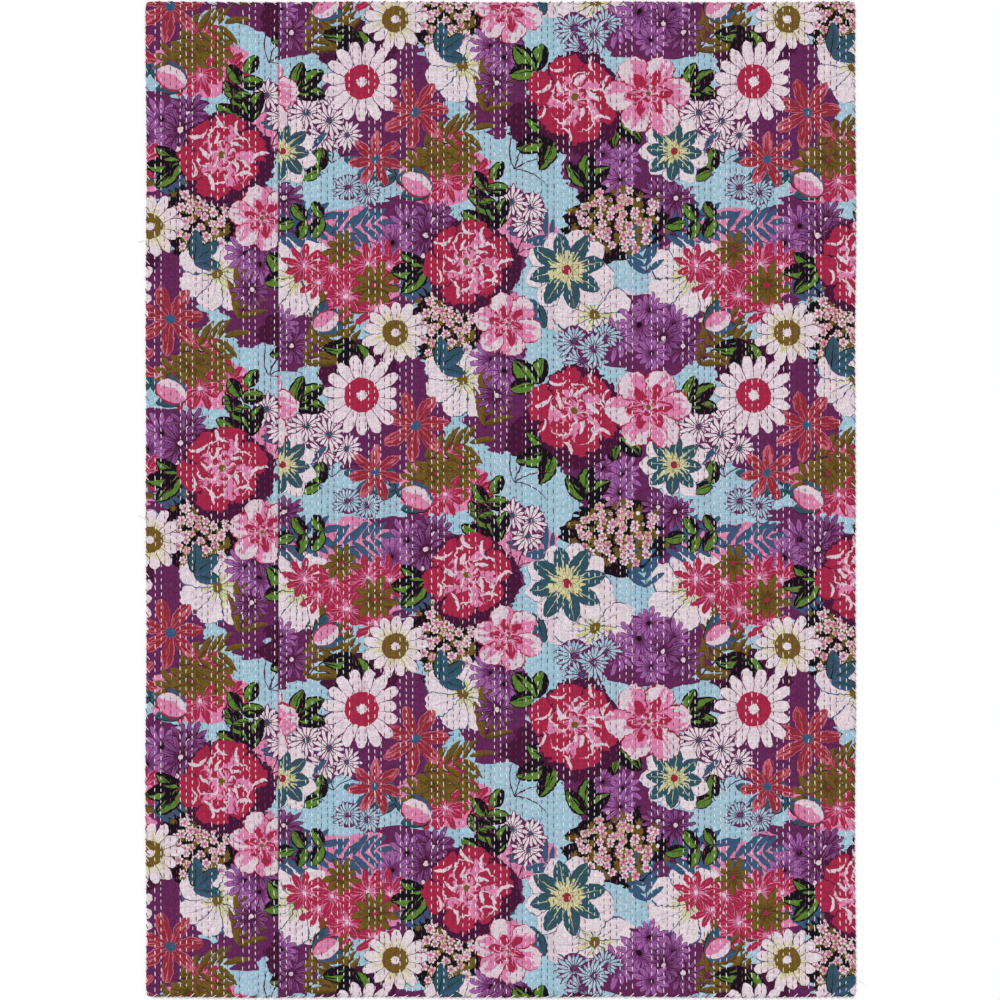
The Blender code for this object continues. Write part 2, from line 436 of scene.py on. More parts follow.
# Zones of plain ground ink: (x, y, half width, half height) in millimetres, the last ink on top
GROUND = (
    (BLUSH, (335, 350, 76, 76), (630, 220, 60, 50), (170, 330, 100, 50)),
    (PLUM, (270, 290, 110, 70), (530, 440, 110, 100), (500, 150, 110, 120), (200, 50, 90, 90),
        (690, 200, 66, 110), (290, 500, 66, 66), (680, 440, 60, 80)),
    (ROSE, (430, 430, 120, 90), (690, 330, 46, 56), (600, 20, 90, 50), (40, 480, 60, 40)),
    (WINE, (450, 240, 70, 50), (100, 110, 90, 50), (620, 400, 60, 70)),
    (MOSS, (450, 375, 50, 40), (600, 50, 40, 30)),
    (NIGHT, (206, 499, 92, 68), (604, 314, 68, 82)),
)


def stitch_rows(low, high):
    """Where each row lies across, and the number of its group, between two edges."""
    first_group = -math.ceil(ROW_ORIGIN / GROUP_PITCH)
    last_group = math.ceil((WIDTH - ROW_ORIGIN) / GROUP_PITCH)
    rows = []
    for group in range(first_group, last_group + 1):
        for row in range(ROWS_IN_GROUP):
            from_left = ROW_ORIGIN + group * GROUP_PITCH + row * ROW_PITCH
            x = from_left - WIDTH / 2
            if EDGE_CLEAR < from_left < WIDTH - EDGE_CLEAR and low < x < high:
                rows.append((x, group))
    return rows


def row_stray(x, y):
    """How far the row at x has strayed sideways at y, in half lengths."""
    return ROW_WAVER * np.sin(2.1 * y * math.pi + 37 * x) * np.cos(61 * x + 1.3 * y)


def edge_inset(y, side):
    from_fullest = y - side * EDGE_FULLEST
    waves = sum(1 - np.cos(math.pi * swing * from_fullest) for swing in EDGE_SWINGS)
    return EDGE_STRAY * waves / 2


def end_inset(x, end):
    return END_STRAY * (1 + end * np.cos(math.pi * END_SWING * x))


def stitch_phase(x, y):
    """Counts the stitches of the row at x up to y, in metres: whole numbers are their middles."""
    start = 0.5 + 0.5 * math.sin(9173 * x)
    period = STITCH_PERIOD * (1 + 0.1 * math.sin(5381 * x))
    wobble = 0.5 * np.sin(11 * y + 300 * x) + 0.22 * np.sin(41 * y + 700 * x)
    return (y + LENGTH / 2) / period + start + wobble


def panel_columns(low, high, rows):
    """Columns of points across a panel: places between which anchors they lie, and how far."""
    columns = [(low + inset, None, None, 0.0) for inset in RIM_INSETS]
    first, last = rows[0][0], rows[-1][0]
    columns += fill(low + RIM_INSETS[-1], first)
    for (x, _), (following, _) in zip(rows, rows[1:]):
        gap = following - x
        steps = PITCH_STEPS if gap > 0.8 * ROW_PITCH else GAP_STEPS
        columns += [(x + gap * step / steps, x, following, step / steps) for step in range(steps)]
    columns.append((last, last, last, 0.0))
    columns += fill(last, high - RIM_INSETS[-1])
    columns += [(high - inset, None, None, 0.0) for inset in reversed(RIM_INSETS)]
    return columns


def fill(low, high):
    """Plain columns strictly between two places."""
    steps = max(1, round((high - low) / EDGE_STEP))
    return [(low + (high - low) * step / steps, None, None, 0.0) for step in range(1, steps)]


def panel_stations():
    """Places along the length, closer at both ends, where the rim turns down."""
    half = LENGTH / 2
    inner = half - RIM_INSETS[-1]
    steps = round(2 * inner / STATION_STEP)
    middle = [-inner + 2 * inner * step / steps for step in range(1, steps)]
    foot = [-half + inset for inset in RIM_INSETS]
    head = [half - inset for inset in reversed(RIM_INSETS)]
    return np.array(foot + middle + head)


def crinkles(x, y):
    """Soft creases that mostly run across the rows."""
    rng = np.random.default_rng(5)
    height = np.zeros_like(x)
    for _ in range(CRINKLE_WAVES):
        wave = 2 * math.pi / rng.uniform(0.022, 0.06)
        lean = rng.normal(0, 0.35)
        height += np.sin(wave * (y + lean * x) + rng.uniform(0, 6.3)) * np.sin(x * rng.uniform(20, 90))
    return CRINKLE * height / 3


def rounded_corner(across, along):
    """Pulls square rings of points near a corner into round ones, given the insets from both edges."""
    in_x = np.clip(CORNER_RADIUS - across, 0, None)
    in_y = np.clip(CORNER_RADIUS - along, 0, None)
    longest = np.maximum(in_x, in_y)
    length = np.maximum(np.hypot(in_x, in_y), 1e-9)
    shrink = np.where((in_x > 0) & (in_y > 0), longest / length, 1.0)
    return in_x * (1 - shrink), in_y * (1 - shrink)


def row_relief(columns, rows, place):
    """How far each column strays with the rows beside it, and how high the cloth puffs up there."""
    row_x = np.array([row[0] for row in rows])
    stray, height = np.zeros_like(place), np.zeros_like(place)
    for number, (here, left, right, share) in enumerate(columns):
        fullness = 1.0
        if left is None:
            share = min(1.0, np.abs(row_x - here).min() / (ROW_PITCH / 2)) / 2
        else:
            strays = row_stray(left, place[number]), row_stray(right, place[number])
            stray[number] = (1 - share) * strays[0] + share * strays[1]
            fullness = min(1.0, (right - left) / ROW_PITCH)
        bulge = math.sin(share * math.pi) ** CREST_SHAPE * fullness
        height[number] = TROUGH_HEIGHT + PUFF * bulge
    return stray, height


def turned_down(height, inset):
    """The cloth's height, rounded down to its folded edge."""
    rim = inset / SHOULDER_INSET
    turned = RIM_LOW + (SHOULDER_HEIGHT - RIM_LOW) * np.sqrt(1 - (1 - np.clip(rim, 0, 1)) ** 2)
    return np.where(rim < 1, np.minimum(turned, height), height)


def cut_out(x, y, stray):
    """Moves the points of a plain rectangle to the outline, scalloped where the rim is sewn."""
    side, end = np.where(x < 0, -1, 1), np.where(y < 0, -1, 1)
    across, along = WIDTH / 2 - np.abs(x), LENGTH / 2 - np.abs(y)
    near_x = np.clip(1 - across / EDGE_REACH, 0, 1)
    near_y = np.clip(1 - along / EDGE_REACH, 0, 1)
    swing = 2 * math.pi * (x + y) / SCALLOP_PITCH + 3 * np.sin(7 * (x - y))
    drawn = SCALLOP * (1 - np.cos(swing)) / 2
    cut_x, cut_y = rounded_corner(across, along)
    place_x = x + stray - side * (near_x * (edge_inset(2 * y / LENGTH, side) + drawn) + cut_x)
    place_y = y - end * (near_y * (end_inset(2 * x / WIDTH, end) + drawn) + cut_y)
    return place_x, place_y


def cloth_points(low, high, rows):
    """The columns' nominal x, and the grid of points of a panel's upper face."""
    columns = panel_columns(low, high, rows)
    nominal_x = np.array([column[0] for column in columns])
    x, y = np.meshgrid(nominal_x, panel_stations(), indexing="ij")
    stray, height = row_relief(columns, rows, 2 * y / LENGTH)
    height += crinkles(x, y) * (0.4 + 0.6 * (height - TROUGH_HEIGHT) / PUFF)
    inset = np.minimum(np.minimum(x - low, high - x), LENGTH / 2 - np.abs(y))
    return nominal_x, np.stack([*cut_out(x, y, stray), turned_down(height, inset)], axis=-1)


def border(grid):
    """What a grid holds along its border, once round."""
    return np.concatenate([grid[:-1, 0], grid[-1, :-1], grid[:0:-1, -1], grid[0, :0:-1]])


def rim_faces(grid):
    """What a grid of faces holds beside each wall of the rim."""
    return np.concatenate([grid[:, 0], grid[-1, :], grid[::-1, -1], grid[0, ::-1]])


def corners_of(grid):
    """What a grid of points holds at the four corners of each face."""
    return np.stack([grid[:-1, :-1], grid[1:, :-1], grid[1:, 1:], grid[:-1, 1:]], axis=2)


def cloth_mesh(name, points):
    """A closed mesh: the grid above, a short wall all round, and a flat underside."""
    number = np.arange(points[..., 0].size).reshape(points.shape[:2])
    ring = border(number)
    below = border(points) * (1, 1, 0)
    low_ring = np.arange(len(ring)) + number.size
    walls = np.stack([low_ring, np.roll(low_ring, -1), np.roll(ring, -1), ring], axis=-1)
    faces = [*corners_of(number).reshape(-1, 4).tolist(), *walls.tolist(), low_ring[::-1].tolist()]
    mesh = bpy.data.meshes.new(name)
    mesh.from_pydata(np.concatenate([points.reshape(-1, 3), below]).tolist(), [], faces)
    mesh.shade_smooth()
    mesh.polygons[len(faces) - 1].use_smooth = False
    return mesh


def store(mesh, name, domain, values, count):
    """Writes three numbers a point, face or corner, with zeros for what the values don't reach."""
    padded = np.zeros((count, 3), np.float32)
    padded[: len(values)] = values
    attribute = mesh.attributes.new(name, "FLOAT_VECTOR", domain)
    attribute.data.foreach_set("vector", padded.ravel())


def placed_stamps(low, high, shift):
    """Kind, spot, reach and code of every stamp that reaches a panel, from the top one down."""
    found = []
    for order, (kind, x, y, radius, turn) in reversed(list(enumerate(STAMPS))):
        reach = radius * 1.1
        code = KIND_NUMBER[kind] + (order * 37 % SEEDS + 0.5) / SEEDS
        for i in range(-3, 4):
            for j in range(-4, 5):
                here = (x + i * REPEAT_X + shift[0], y + j * REPEAT_Y + shift[1])
                if low - reach < here[0] < high + reach and abs(here[1]) < LENGTH / 2 + reach:
                    found.append((kind, (*here, radius, turn), reach, code))
    return found


def in_stamp(points, x, y, radius, turn):
    """Points on the cloth in a stamp's own coordinates, in its radii."""
    u, v = (points[..., 0] - x) / radius, (points[..., 1] - y) / radius
    return u * np.cos(turn) + v * np.sin(turn), v * np.cos(turn) - u * np.sin(turn)


def petal_depth(kind, u, v, reach):
    """How deep points lie in a motif whose petals reach so far, below zero outside it."""
    petals, _, swirl, _ = MOTIFS[kind]["shape"]
    rise, point, top, backing = MOTIFS[kind]["profile"]
    eye = MOTIFS[kind]["line"][3]
    radius = np.hypot(u, v)
    turn = (np.arctan2(v, u) + radius * swirl) * petals / math.tau
    lean = (turn - np.round(turn)) * math.tau / petals
    along = radius * np.cos(lean) / reach
    inside = np.clip(along, 0, 1)
    half = top * inside**rise * (1 - inside) ** point
    beyond = np.maximum(along - 1, 0) + np.maximum(-along, 0)
    return np.maximum(half - np.abs(radius * np.sin(lean)) - beyond, max(eye, backing) - radius)


def share_out(stamps, points):
    """Picks the stamps that show on each face, the topmost first."""
    middles = corners_of(points).mean(axis=2)
    column_x, station_y = points[:, points.shape[1] // 2, 0], points[points.shape[0] // 2, :, 1]
    shape = middles.shape[:2]
    count = np.zeros(shape, int)
    closed = np.zeros(shape, bool)
    slots = np.full((LAYERS, *shape), -1)
    for number, (kind, spot, reach, _) in enumerate(stamps):
        x, y, radius, _ = spot
        i0, i1 = np.searchsorted(column_x, (x - reach, x + reach))
        j0, j1 = np.searchsorted(station_y, (y - reach, y + reach))
        i0, j0 = max(i0 - 1, 0), max(j0 - 1, 0)
        i1, j1 = min(i1 + 1, len(column_x) - 1), min(j1 + 1, len(station_y) - 1)
        if i1 <= i0 or j1 <= j0:
            continue
        part = (slice(i0, i1), slice(j0, j1))
        _, jitter, _, ruffle = MOTIFS[kind]["shape"]
        around = in_stamp(points[i0 : i1 + 1, j0 : j1 + 1], *spot)
        widest = corners_of(petal_depth(kind, *around, 1.0)).max(axis=2)
        centre = petal_depth(kind, *in_stamp(middles[part], *spot), 1.0)
        touched = np.maximum(widest, centre) > -ruffle / 2 - NEAR_FACE / radius
        narrowest = corners_of(petal_depth(kind, *around, 1 - jitter)).min(axis=2)
        covered = narrowest > ruffle / 2 + NEAR_FACE / 2 / radius
        taken = touched & ~closed[part] & (count[part] < LAYERS)
        i, j = np.nonzero(taken)
        slots[count[part][i, j], i + i0, j + j0] = number
        count[part] += taken
        closed[part] |= taken & covered
    return slots, count


def print_cloth(mesh, points, stamps, slots, count):
    """Writes each face's stamps on the mesh, layer by layer, and picks its material."""
    ring = border(points)
    after = np.roll(ring, -1, axis=0)
    walls = np.stack([ring, after, after, ring], axis=1)
    corners = np.concatenate([corners_of(points).reshape(-1, 4, 3), walls])
    blank = (0.0, 0.0, 1.0, 0.0, 0.5 / SEEDS)
    table = np.array([*((*spot, code) for _, spot, _, code in stamps), blank])
    for layer in range(LAYERS):
        which = np.concatenate([slots[layer].reshape(-1), rim_faces(slots[layer])])
        *spot, code = table[which].T[..., None]
        u, v = in_stamp(corners, *spot)
        place = np.stack([u, v, np.broadcast_to(code, u.shape)], axis=-1)
        store(mesh, f"place_{layer}", "CORNER", place.reshape(-1, 3), len(mesh.loops))
    material = np.zeros(len(mesh.polygons), np.int32)
    material[:-1] = np.searchsorted(DEPTHS, np.concatenate([count.reshape(-1), rim_faces(count)]))
    mesh.polygons.foreach_set("material_index", material)


def ground_zones(mesh, shift):
    """How deep each point lies in each zone of ground ink, over 0 inside it."""
    flat = np.zeros(len(mesh.vertices) * 3, np.float32)
    mesh.vertices.foreach_get("co", flat)
    xy = flat.reshape(-1, 3)[:, :2] - shift
    depths = []
    for _, *zones in GROUND:
        depth = np.full(len(xy), -9.0)
        for x, y, half_x, half_y in zones:
            away = xy - (x * MM, y * MM)
            away -= np.round(away / (REPEAT_X, REPEAT_Y)) * (REPEAT_X, REPEAT_Y)
            depth = np.maximum(depth, 1 - np.hypot(away[:, 0] / half_x, away[:, 1] / half_y) / MM)
        depths.append(depth)
    store(mesh, "ground_low", "POINT", np.stack(depths[:3], axis=-1), len(xy))
    store(mesh, "ground_high", "POINT", np.stack(depths[3:], axis=-1), len(xy))


def quilting(mesh, nominal_x, points, rows):
    """Writes each face corner's distance from its row, in pitches, and how many stitches along."""
    row_x = np.array([row[0] for row in rows])
    middle = (nominal_x[:-1] + nominal_x[1:]) / 2
    nearest = np.argmin(np.abs(row_x[None] - middle[:, None]), axis=1)
    corners = corners_of(points)
    y = corners[..., 1]
    away, phase = np.zeros_like(y), np.zeros_like(y)
    for number, row in enumerate(nearest):
        x = row_x[row]
        away[number] = (corners[number, ..., 0] - x - row_stray(x, 2 * y[number] / LENGTH)) / ROW_PITCH
        phase[number] = stitch_phase(x, y[number])
    values = np.stack([away, phase, np.zeros_like(away)], axis=-1).reshape(-1, 3)
    store(mesh, "quilting", "CORNER", values, len(mesh.loops))


def operation(name):
    """A method that passes a wire, and what else is given, to a node of plain arithmetic."""
    return lambda wire, *others: wire.math(name, *others)


class Wire:
    """A value in a node tree, on which plain arithmetic builds more nodes."""

    def __init__(self, tree, socket):
        self.tree = tree
        self.socket = socket

    def math(self, name, *others):
        return add_node(self.tree, "ShaderNodeMath", (self, *others), operation=name)

    __add__ = operation("ADD")
    __sub__ = operation("SUBTRACT")
    __mul__ = operation("MULTIPLY")
    __truediv__ = operation("DIVIDE")
    __pow__ = operation("POWER")
    __gt__ = operation("GREATER_THAN")
    __lt__ = operation("LESS_THAN")
    size = operation("ABSOLUTE")
    at_least = operation("MAXIMUM")
    at_most = operation("MINIMUM")

    def parts(self, kind="ShaderNodeSeparateXYZ"):
        node = self.tree.nodes.new(kind)
        plug(self.tree, self, node.inputs[0])
        return [Wire(self.tree, output) for output in node.outputs[:3]]

    def channels(self):
        return self.parts("ShaderNodeSeparateColor")


def plug(tree, value, socket):
    """Links a wire to a socket, or sets a plain value on it."""
    if isinstance(value, Wire):
        tree.links.new(value.socket, socket)
    else:
        socket.default_value = value


def add_node(tree, kind, inputs=(), output=0, **options):
    """One output of a new node, with its options and what goes into it by name or in order."""
    node = tree.nodes.new(kind)
    for option, value in options.items():
        setattr(node, option, value)
    inputs = inputs if isinstance(inputs, dict) else dict(enumerate(inputs))
    for key, value in inputs.items():
        plug(tree, value, node.inputs[key])
    return Wire(tree, node.outputs[output])


def combined(tree, x, y, z):
    return add_node(tree, "ShaderNodeCombineXYZ", (x, y, z))


def noise(tree, vector, scale, detail=1.0, output="Fac"):
    inputs = {"Vector": vector, "Scale": scale, "Detail": detail}
    return add_node(tree, "ShaderNodeTexNoise", inputs, output)


def chance(tree, number):
    """An even random value for each number."""
    return add_node(tree, "ShaderNodeTexWhiteNoise", {"W": number}, "Value", noise_dimensions="1D")


def blend(tree, share, first, second):
    """The first colour, or the second where the share is 1. Its colours are sockets 6 and 7."""
    inputs = {"Factor": share, 6: first, 7: second}
    return add_node(tree, "ShaderNodeMix", inputs, 2, data_type="RGBA")


def by_kind(tree, share, field):
    """Looks up four numbers of a motif. Its kind is given as a share of all kinds."""
    node = tree.nodes.new("ShaderNodeValToRGB")
    ramp = node.color_ramp
    ramp.interpolation = "CONSTANT"
    lift = LIFT if field in MEASURES else 0.0
    for number, made in enumerate(MOTIFS.values()):
        place = number / KINDS
        stop = ramp.elements[number] if number < 2 else ramp.elements.new(place)
        stop.position = place
        *first, last = made[field]
        stop.color = (*(value + lift for value in first), last)
    plug(tree, share, node.inputs["Fac"])
    return Wire(tree, node.outputs["Color"]), Wire(tree, node.outputs["Alpha"])


def measures(tree, share, field):
    colour, last = by_kind(tree, share, field)
    return [*(channel - LIFT for channel in colour.channels()), last]


def stamp_group():
    """The node group that prints one stamp over what is under it."""
    tree = bpy.data.node_groups.new("printed_stamp", "ShaderNodeTree")
    kinds = {"Under": "NodeSocketColor", "Place": "NodeSocketVector", "Wobble": "NodeSocketVector"}
    for name, kind in kinds.items():
        tree.interface.new_socket(name=name, in_out="INPUT", socket_type=kind)
    tree.interface.new_socket(name="Colour", in_out="OUTPUT", socket_type="NodeSocketColor")
    entry = tree.nodes.new("NodeGroupInput")
    under, place, wobble = (Wire(tree, entry.outputs[name]) for name in kinds)
    u, v, code = place.parts()
    kind = code.math("FLOOR")
    seed = ((code - kind) * SEEDS).math("FLOOR")
    share = (kind + 0.5) / KINDS
    petals, jitter, swirl, ruffle = measures(tree, share, "shape")
    rise, fall, top, backing = measures(tree, share, "profile")
    outline, rib, crescent, eye = measures(tree, share, "line")
    mark_from, mark_along, mark_across, streak = measures(tree, share, "wash")
    body, rim, mark, centre = (by_kind(tree, share, field)[0] for field in INKS)
    # a ruffled edge, as cut by hand
    wobble_u, wobble_v, _ = wobble.parts()
    u = u + wobble_u * ruffle
    v = v + wobble_v * ruffle
    # which petal, how far along it and how far to its side
    radius = (u * u + v * v).math("SQRT")
    turn = (v.math("ARCTAN2", u) + radius * swirl) * petals / math.tau
    petal = turn.math("ROUND")
    lean = (turn - petal) * math.tau / petals
    reach = chance(tree, petal.math("FLOORED_MODULO", petals) * 1.37 + seed) * jitter * -1 + 1
    along = radius * lean.math("COSINE") / reach
    across = radius * lean.math("SINE")
    inside = along.at_least(0.0).at_most(1.0)
    half = top * inside**rise * (inside * -1 + 1) ** fall
    side = (across / half.at_least(0.001)).at_least(-1.0).at_most(1.0)
    edge = half - across.size()
    neighbour = radius * (petals**-1.0 * math.pi - lean.size())
    # what is drawn on a petal
    grain = noise(tree, combined(tree, side * 2.2 + petal * 5.3, along * 1.1, seed), 1.6, 0.0)
    marked = mark_from - mark_along * along - mark_across * side + streak * (grain - 0.5) * 2 > 0.0
    lined = edge.at_most(neighbour * 2.2) < outline * (crescent * side + 1)
    ribbed = across.size() < rib * (along * -1 + 1)
    petal_ink = blend(tree, marked, body, mark)
    petal_ink = blend(tree, lined.at_least(ribbed), petal_ink, rim)
    colour = blend(tree, radius < backing, under, rim)
    colour = blend(tree, edge > 0.0, colour, petal_ink)
    colour = blend(tree, radius < eye, colour, centre)
    plug(tree, colour, tree.nodes.new("NodeGroupOutput").inputs["Colour"])
    return tree


def attribute(tree, name):
    return add_node(tree, "ShaderNodeAttribute", output="Vector", attribute_name=name)


def object_coordinates(tree):
    return add_node(tree, "ShaderNodeTexCoord", output="Object")


def stretched(tree, vector, x, y, z, turn=0.0):
    """Coordinates for a pattern drawn out along one direction."""
    inputs = {"Vector": vector, "Rotation": (0.0, 0.0, turn), "Scale": (x, y, z)}
    return add_node(tree, "ShaderNodeMapping", inputs)


def new_material(name, finish):
    """A material, its nodes, and its shader with plain values on the shader's own sockets."""
    material = bpy.data.materials.new(name)
    material.use_nodes = True
    shader = material.node_tree.nodes["Principled BSDF"]
    for socket, value in {"Specular IOR Level": 0.1, **finish}.items():
        shader.inputs[socket].default_value = value
    return material, material.node_tree, shader


def raise_relief(tree, shader, height, distance):
    inputs = {"Strength": 1.0, "Distance": distance, "Height": height}
    plug(tree, add_node(tree, "ShaderNodeBump", inputs), shader.inputs["Normal"])


def ground_colour(tree, here):
    """The plain inks under the stamps, with edges as loose as a slanting brush leaves them."""
    loose = (noise(tree, stretched(tree, here, 14, 44, 14, 0.5), 1.0, 2.0) - 0.5) * 0.9
    colour = SKY
    depths = attribute(tree, "ground_low").parts() + attribute(tree, "ground_high").parts()
    for depth, (zone_ink, *_) in zip(depths, GROUND):
        colour = blend(tree, depth + loose > 0.0, colour, zone_ink)
    return colour


def wobbles(tree, here):
    """Loose waves that every printed edge follows, some as long as a petal and some much finer."""
    coarse = noise(tree, here, 42, 0.0, "Color").channels()
    fine = noise(tree, here, 150, 0.0, "Color").channels()
    return combined(tree, coarse[0] + fine[0] - 1.0, coarse[1] + fine[1] - 1.0, 0.0)


def stamped(tree, here, group, layers):
    """The printed colour: the ground, and the face's stamps over it."""
    colour = ground_colour(tree, here)
    wobble = wobbles(tree, here)
    for layer in reversed(range(layers)):
        inputs = {"Under": colour, "Place": attribute(tree, f"place_{layer}"), "Wobble": wobble}
        colour = add_node(tree, "ShaderNodeGroup", inputs, "Colour", node_tree=group)
    return colour


def printed_cotton(name, group, layers):
    """Plain-weave cotton with the print, its slubs, painted shade at the needle holes, and the puckers
    that the stitches make.
    """
    finish = {"Roughness": 0.9, "Sheen Weight": 0.02, "Sheen Roughness": 0.5}
    material, tree, shader = new_material(name, finish)
    here = object_coordinates(tree)
    colour = stamped(tree, here, group, layers)
    # slubs, and the needle holes, with painted shade darkening the print at each
    weft = noise(tree, stretched(tree, here, 60, 420, 60), 1.0, 1.0)
    warp = noise(tree, stretched(tree, here, 700, 50, 60), 1.0, 0.0)
    away, phase, _ = attribute(tree, "quilting").parts()
    near = (away * away * -ROW_DENT).math("EXPONENT")
    beat = (phase * math.tau).math("COSINE")
    # painted shade: the print darkens between the stitches, in the dip where the needle went in
    needle_hole_shade = (away * away * -NEEDLE_SHADE_TIGHTNESS).math("EXPONENT") * (beat * -0.5 + 0.5)
    fleck = noise(tree, here, 330, 0.0)
    shade = (weft - 0.5) * WEFT_SHADE + (warp - 0.5) * WARP_SHADE
    shade = shade + (fleck - 0.5) * FLECK_SHADE - needle_hole_shade * NEEDLE_HOLE_PAINTED_SHADE
    soaked = noise(tree, here, 80, 1.0)
    shade = shade + (soaked - 0.5) * SOAKED_SHADE + INK_STRENGTH
    inked = add_node(tree, "ShaderNodeVectorMath", {0: colour, "Scale": shade}, operation="SCALE")
    plug(tree, inked, shader.inputs["Base Color"])
    # the relief that is too fine for the mesh
    crease = noise(tree, stretched(tree, here, 90, 260, 90), 1.0, 1.0)
    raise_relief(tree, shader, near * beat * -0.7 + crease * (near * -0.5 + 1.6), 0.0007)
    return material


def spun_thread(name, colour, dark):
    """Soft two-ply cotton thread, its plies wound slantwise, with painted shade in the grooves between
    them.
    """
    material, tree, shader = new_material(name, {"Roughness": 0.8, "Sheen Weight": 0.2})
    here = object_coordinates(tree)
    winding = {"Scale": 420, "Distortion": 1.5, "Vector": here}
    plies = add_node(tree, "ShaderNodeTexWave", winding, "Fac", bands_direction="DIAGONAL")
    fuzz = noise(tree, here, 300, 2.0)
    # darker in the grooves between the plies, a painted shade, and mottled at random by the fuzz
    share = (plies * 0.45 + fuzz * 0.5).at_most(1.0)
    plug(tree, blend(tree, share, dark, colour), shader.inputs["Base Color"])
    raise_relief(tree, shader, plies, 0.0002)
    return material


def link(piece):
    bpy.context.scene.collection.objects.link(piece)
    return piece


def cloth_panel(name, low, high, shift, materials):
    rows = stitch_rows(low, high)
    nominal_x, points = cloth_points(low, high, rows)
    mesh = cloth_mesh(name, points)
    for material in materials:
        mesh.materials.append(material)
    stamps = placed_stamps(low, high, shift)
    print_cloth(mesh, points, stamps, *share_out(stamps, points))
    ground_zones(mesh, shift)
    quilting(mesh, nominal_x, points, rows)
    return link(bpy.data.objects.new(name, mesh))


def new_tree(name, numbers):
    """A Geometry Nodes tree, and its inputs by name: the points, some numbers, a seed, a material."""
    tree = bpy.data.node_groups.new(name, "GeometryNodeTree")
    kinds = {"Geometry": "NodeSocketGeometry"}
    kinds.update({label: "NodeSocketFloat" for label in numbers})
    kinds.update({"Seed": "NodeSocketInt", "Material": "NodeSocketMaterial"})
    for label, kind in kinds.items():
        tree.interface.new_socket(name=label, in_out="INPUT", socket_type=kind)
    tree.interface.new_socket(name="Geometry", in_out="OUTPUT", socket_type="NodeSocketGeometry")
    entry = tree.nodes.new("NodeGroupInput")
    return tree, {label: Wire(tree, entry.outputs[label]) for label in kinds}


def random_between(tree, low, high, seed):
    """A random number for each point. Its bounds are sockets 2 and 3."""
    inputs = {2: low, 3: high, "Seed": seed}
    return add_node(tree, "FunctionNodeRandomValue", inputs, 1, data_type="FLOAT")


def stored_number(tree, name):
    """The number that each point carries under a name."""
    return add_node(tree, "GeometryNodeInputNamedAttribute", {"Name": name}, data_type="FLOAT")


def lay_on_points(tree, given, piece, turn, size):
    """Lays a piece on each point, as one plain mesh, and ends the tree."""
    inputs = {"Points": given["Geometry"], "Instance": piece, "Rotation": turn, "Scale": size}
    laid = add_node(tree, "GeometryNodeInstanceOnPoints", inputs)
    real = add_node(tree, "GeometryNodeRealizeInstances", {"Geometry": laid})
    smooth = add_node(tree, "GeometryNodeSetShadeSmooth", {"Geometry": real})
    inputs = {"Geometry": smooth, "Material": given["Material"]}
    coloured = add_node(tree, "GeometryNodeSetMaterial", inputs)
    plug(tree, coloured, tree.nodes.new("NodeGroupOutput").inputs["Geometry"])


def running_stitch_tree():
    """A thread dash on each point: its ends dive into the cloth, its length and slant are uneven."""
    tree, given = new_tree("running_stitches", STITCH_SETTINGS)
    ball = add_node(tree, "GeometryNodeMeshUVSphere", {"Segments": 4, "Rings": 4, "Radius": 1.0})
    across, up, pole = add_node(tree, "GeometryNodeInputPosition").parts()
    fuller = pole.size() * 0.45 + 1.0
    wide = across * fuller * given["Thread width"] * 0.5
    high = up * fuller * given["Thread rise"] - pole * pole * given["Dive"]
    shape = combined(tree, wide, pole * 0.5, high)
    dash = add_node(tree, "GeometryNodeSetPosition", {"Geometry": ball, "Position": shape})
    seed, slant = given["Seed"], given["Slant"]
    uneven = random_between(tree, 0.78, 1.14, seed)
    length = stored_number(tree, "period") * given["Length share"] * uneven
    size = combined(tree, random_between(tree, 0.85, 1.15, seed), length, 1.0)
    turn = combined(tree, 0.0, 0.0, random_between(tree, slant * -1.0, slant, seed))
    lay_on_points(tree, given, dash, turn, size)
    return tree


def whip_stitch_tree():
    """A thread over the folded edge at each point, from the upper face down round the rim."""
    tree, given = new_tree("whip_stitches", WHIP_SETTINGS)
    path = add_node(tree, "GeometryNodeCurveQuadraticBezier", {
        "Resolution": 7,
        "Start": combined(tree, given["Slant"], given["Bite"], given["Start height"]),
        "Middle": combined(tree, 0.0, 0.0004, given["Crown height"]),
        "End": combined(tree, 0.0, -0.0006, 0.0006),
    })
    inputs = {"Resolution": 6, "Radius": given["Thread radius"]}
    ring = add_node(tree, "GeometryNodeCurvePrimitiveCircle", inputs)
    inputs = {"Curve": path, "Profile Curve": ring, "Fill Caps": True}
    thread = add_node(tree, "GeometryNodeCurveToMesh", inputs)
    seed = given["Seed"]
    turn = stored_number(tree, "turn") + random_between(tree, -0.22, 0.22, seed)
    size = random_between(tree, 0.8, 1.15, seed)
    lay_on_points(tree, given, thread, combined(tree, 0.0, 0.0, turn), combined(tree, size, size, 1.0))
    return tree


def as_plain_mesh(name, source):
    """Keeps what an object makes as a plain mesh, in the object's place."""
    evaluated = source.evaluated_get(bpy.context.evaluated_depsgraph_get())
    mesh = bpy.data.meshes.new_from_object(evaluated)
    mesh.name = name
    bpy.data.objects.remove(source)
    return link(bpy.data.objects.new(name, mesh))


def grown(name, points, attribute_name, values, tree, settings):
    """Runs a Geometry Nodes tree on a cloud of points and keeps the result as a plain mesh."""
    cloud = bpy.data.meshes.new(name + "_points")
    cloud.from_pydata([tuple(point) for point in points], [], [])
    numbers = cloud.attributes.new(attribute_name, "FLOAT", "POINT")
    numbers.data.foreach_set("value", np.asarray(values, np.float32))
    source = link(bpy.data.objects.new(name + "_points", cloud))
    modifier = source.modifiers.new("sewing", "NODES")
    modifier.node_group = tree
    for item in tree.interface.items_tree:
        if item.in_out == "INPUT" and item.name in settings:
            modifier[item.identifier] = settings[item.name]
    return as_plain_mesh(name, source)


